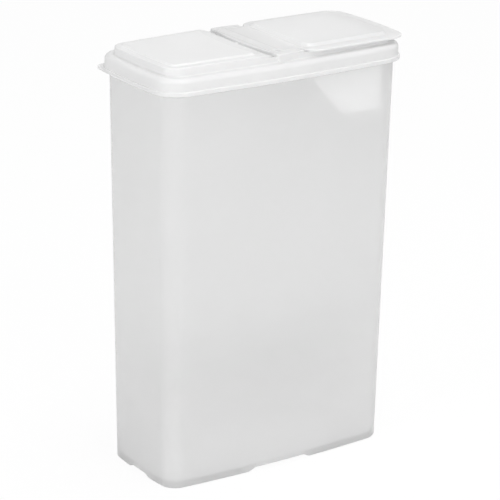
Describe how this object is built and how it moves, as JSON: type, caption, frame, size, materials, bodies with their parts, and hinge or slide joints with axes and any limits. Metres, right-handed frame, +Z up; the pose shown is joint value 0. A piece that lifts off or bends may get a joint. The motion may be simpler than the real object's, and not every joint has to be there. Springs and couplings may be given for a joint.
{
  "type": "cereal container",
  "caption": "Tall translucent food keeper with a lift-off lid, a flip-up flap over the pour opening and a guide hanging under it.",
  "frame": {"origin": "under the middle of the tub, on the surface that its feet stand on", "axes": "+X along the long side towards the pour opening, +Y to the back, +Z up"},
  "size_m": [0.2046, 0.101, 0.3043],
  "materials": {
    "tub_plastic": "satin",
    "lid_plastic": "satin"
  },
  "bodies": {
    "tub": {"tub": "tub_plastic"},
    "lid": {"lid": "lid_plastic", "pour_guide": "lid_plastic"},
    "flap": {"flap": "lid_plastic"}
  },
  "joints": [
    {"name": "lid_lift", "type": "slide", "parent": "tub", "child": "lid", "axis": [0, 0, 1], "range_m": [0, 0.07]},
    {"name": "flap_hinge", "type": "hinge", "parent": "lid", "child": "flap", "pos_m": [-0.004, 0, 0.2998], "axis": [0, -1, 0], "range_deg": [0, 120]}
  ]
}
